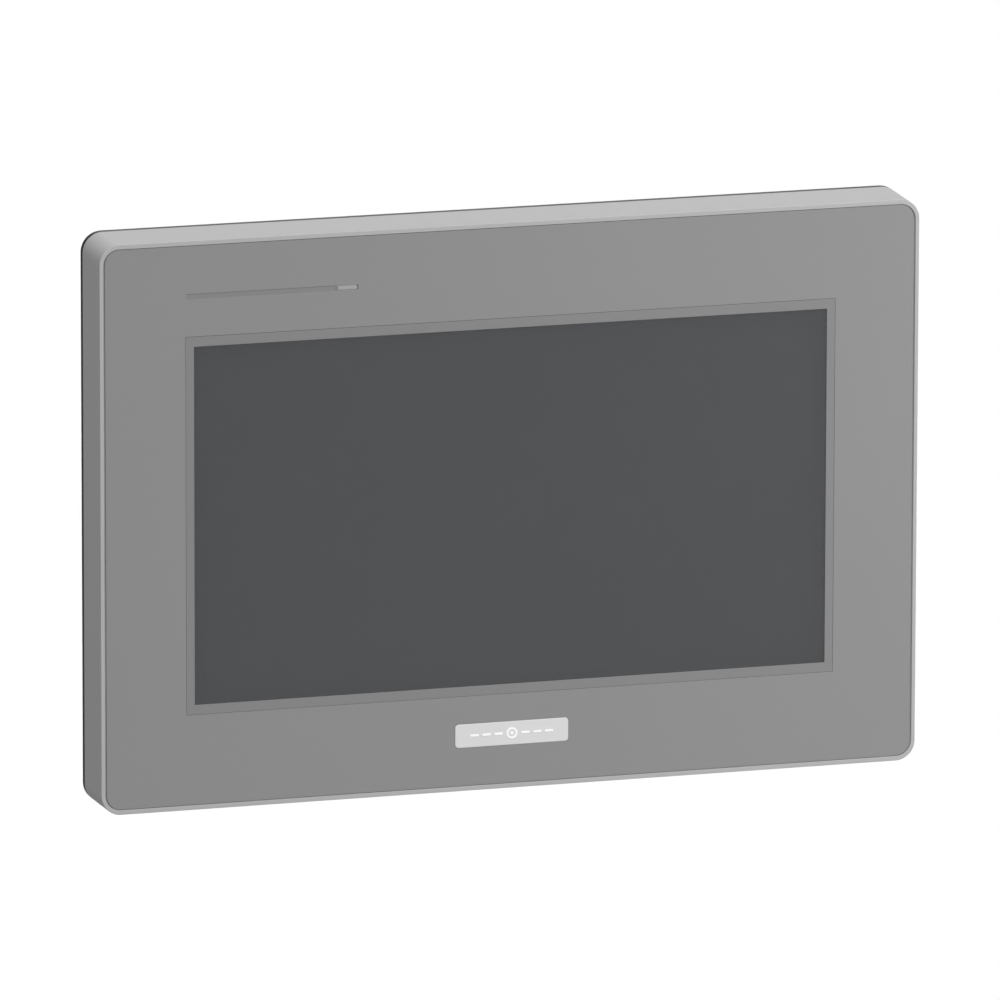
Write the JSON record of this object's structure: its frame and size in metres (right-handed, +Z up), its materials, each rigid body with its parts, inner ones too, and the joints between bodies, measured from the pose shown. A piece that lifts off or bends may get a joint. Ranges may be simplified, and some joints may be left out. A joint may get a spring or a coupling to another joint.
{
  "type": "hmi touch panel",
  "caption": "Wide touch operator panel for cabinet doors: silver frame, grey front sheet, dark display, stepped black rear case with sockets and swing-out clips.",
  "frame": {"origin": "centre of the plane where the gasket meets the front of the mounting panel", "axes": "+X to the right as the operator sees the screen, +Y into the cabinet, +Z up; the screen faces -Y"},
  "size_m": [0.1994, 0.0434, 0.136],
  "materials": {
    "frame_silver": "fine satin paint on a cast frame",
    "overlay_grey": "fine matt printed film",
    "badge_grey": "satin",
    "badge_white": "satin",
    "light_pipe": "translucent, frosted",
    "circuit_board": "solder-resist green",
    "touch_window": "hard-coated clear film with a grey printed border",
    "touch_glass": "clear",
    "black_foam": "closed-cell foam",
    "flat_cable": "amber film",
    "display_cell": "dark, switched off",
    "display_metal": "stamped sheet",
    "tray_white": "moulded",
    "zinc_sheet": "zinc plated",
    "screw_steel": "zinc plated",
    "brass": "turned",
    "chip_black": "moulded",
    "bare_aluminium": "extruded",
    "case_black": "fine spark-eroded texture",
    "gasket_black": "moulded",
    "label_silver": "blank silver film",
    "inlet_green": "moulded",
    "jack_metal": "tin plated",
    "jack_black": "moulded",
    "tongue_white": "moulded",
    "switch_red": "moulded",
    "battery_steel": "pressed",
    "clip_zinc": "die-cast, tumbled"
  },
  "bodies": {
    "root": {"bezel": "frame_silver", "front_overlay": "overlay_grey", "badge_plate": "badge_grey", "badge_motif": "badge_white", "led_window": "light_pipe", "led_board": "circuit_board", "touch_film": "touch_window", "touch_glass": "touch_glass", "touch_seal": "black_foam", "touch_cable": "flat_cable", "lcd_cell": "display_cell", "lcd_frame": "display_metal", "backlight_tray": "tray_white", "lcd_cable": "flat_cable", "shield_plate": "zinc_sheet", "shield_screws": "screw_steel", "standoffs": "brass", "main_board": "circuit_board", "board_screws": "screw_steel", "board_chips": "chip_black", "heat_sink": "bare_aluminium", "rear_case": "case_black", "panel_gasket": "gasket_black", "case_screws": "screw_steel", "rating_label": "label_silver", "power_inlet": "inlet_green", "power_pins": "brass", "ethernet_jack": "jack_metal", "serial_jack": "jack_black", "usb_a_shell": "jack_metal", "usb_a_tongue": "tongue_white", "usb_micro_socket": "jack_metal", "dsub_shell": "jack_metal", "dsub_insert": "jack_black", "dsub_pins": "brass", "dsub_lock_nuts": "screw_steel", "dip_switch": "switch_red", "battery_holder": "jack_black", "backup_battery": "battery_steel"},
    "service_cover": {"service_cover": "case_black"},
    "dip_slider_1": {"dip_slider_1": "tongue_white"},
    "dip_slider_2": {"dip_slider_2": "tongue_white"},
    "dip_slider_3": {"dip_slider_3": "tongue_white"},
    "dip_slider_4": {"dip_slider_4": "tongue_white"},
    "clip_screw_top_left": {"clip_screw_top_left": "screw_steel"},
    "clip_nut_top_left": {"clip_nut_top_left": "brass"},
    "clip_arm_top_left": {"clip_arm_top_left": "clip_zinc"},
    "clip_screw_top_right": {"clip_screw_top_right": "screw_steel"},
    "clip_nut_top_right": {"clip_nut_top_right": "brass"},
    "clip_arm_top_right": {"clip_arm_top_right": "clip_zinc"},
    "clip_screw_bottom_left": {"clip_screw_bottom_left": "screw_steel"},
    "clip_nut_bottom_left": {"clip_nut_bottom_left": "brass"},
    "clip_arm_bottom_left": {"clip_arm_bottom_left": "clip_zinc"},
    "clip_screw_bottom_right": {"clip_screw_bottom_right": "screw_steel"},
    "clip_nut_bottom_right": {"clip_nut_bottom_right": "brass"},
    "clip_arm_bottom_right": {"clip_arm_bottom_right": "clip_zinc"}
  },
  "joints": [
    {"name": "cover_hinge", "type": "hinge", "parent": "root", "child": "service_cover", "pos_m": [0.047, 0.0249, 0.002], "axis": [1, 0, 0], "range_deg": [0, 105]},
    {"name": "dip_slide_1", "type": "slide", "parent": "root", "child": "dip_slider_1", "axis": [0, 0, 1], "range_m": [0, 0.002]},
    {"name": "dip_slide_2", "type": "slide", "parent": "root", "child": "dip_slider_2", "axis": [0, 0, 1], "range_m": [0, 0.002]},
    {"name": "dip_slide_3", "type": "slide", "parent": "root", "child": "dip_slider_3", "axis": [0, 0, 1], "range_m": [0, 0.002]},
    {"name": "dip_slide_4", "type": "slide", "parent": "root", "child": "dip_slider_4", "axis": [0, 0, 1], "range_m": [0, 0.002]},
    {"name": "screw_turn_top_left", "type": "hinge", "parent": "root", "child": "clip_screw_top_left", "pos_m": [-0.076, 0.02, 0.0565], "axis": [0, -1, 0], "range_deg": [0, 2574]},
    {"name": "nut_slide_top_left", "type": "slide", "parent": "root", "child": "clip_nut_top_left", "axis": [0, -1, 0], "range_m": [0, 0.005]},
    {"name": "arm_swing_top_left", "type": "hinge", "parent": "clip_nut_top_left", "child": "clip_arm_top_left", "pos_m": [-0.076, 0.02, 0.0565], "axis": [0, -1, 0], "range_deg": [0, 90]},
    {"name": "screw_turn_top_right", "type": "hinge", "parent": "root", "child": "clip_screw_top_right", "pos_m": [0.076, 0.02, 0.0565], "axis": [0, -1, 0], "range_deg": [0, 2574]},
    {"name": "nut_slide_top_right", "type": "slide", "parent": "root", "child": "clip_nut_top_right", "axis": [0, -1, 0], "range_m": [0, 0.005]},
    {"name": "arm_swing_top_right", "type": "hinge", "parent": "clip_nut_top_right", "child": "clip_arm_top_right", "pos_m": [0.076, 0.02, 0.0565], "axis": [0, -1, 0], "range_deg": [0, 90]},
    {"name": "screw_turn_bottom_left", "type": "hinge", "parent": "root", "child": "clip_screw_bottom_left", "pos_m": [-0.076, 0.02, -0.0565], "axis": [0, -1, 0], "range_deg": [0, 2574]},
    {"name": "nut_slide_bottom_left", "type": "slide", "parent": "root", "child": "clip_nut_bottom_left", "axis": [0, -1, 0], "range_m": [0, 0.005]},
    {"name": "arm_swing_bottom_left", "type": "hinge", "parent": "clip_nut_bottom_left", "child": "clip_arm_bottom_left", "pos_m": [-0.076, 0.02, -0.0565], "axis": [0, -1, 0], "range_deg": [0, 90]},
    {"name": "screw_turn_bottom_right", "type": "hinge", "parent": "root", "child": "clip_screw_bottom_right", "pos_m": [0.076, 0.02, -0.0565], "axis": [0, -1, 0], "range_deg": [0, 2574]},
    {"name": "nut_slide_bottom_right", "type": "slide", "parent": "root", "child": "clip_nut_bottom_right", "axis": [0, -1, 0], "range_m": [0, 0.005]},
    {"name": "arm_swing_bottom_right", "type": "hinge", "parent": "clip_nut_bottom_right", "child": "clip_arm_bottom_right", "pos_m": [0.076, 0.02, -0.0565], "axis": [0, -1, 0], "range_deg": [0, 90]}
  ],
  "couplings": [
    {"joint": "screw_turn_top_left", "follows": "nut_slide_top_left", "rad_per_m": 8976},
    {"joint": "screw_turn_top_right", "follows": "nut_slide_top_right", "rad_per_m": 8976},
    {"joint": "screw_turn_bottom_left", "follows": "nut_slide_bottom_left", "rad_per_m": 8976},
    {"joint": "screw_turn_bottom_right", "follows": "nut_slide_bottom_right", "rad_per_m": 8976}
  ]
}
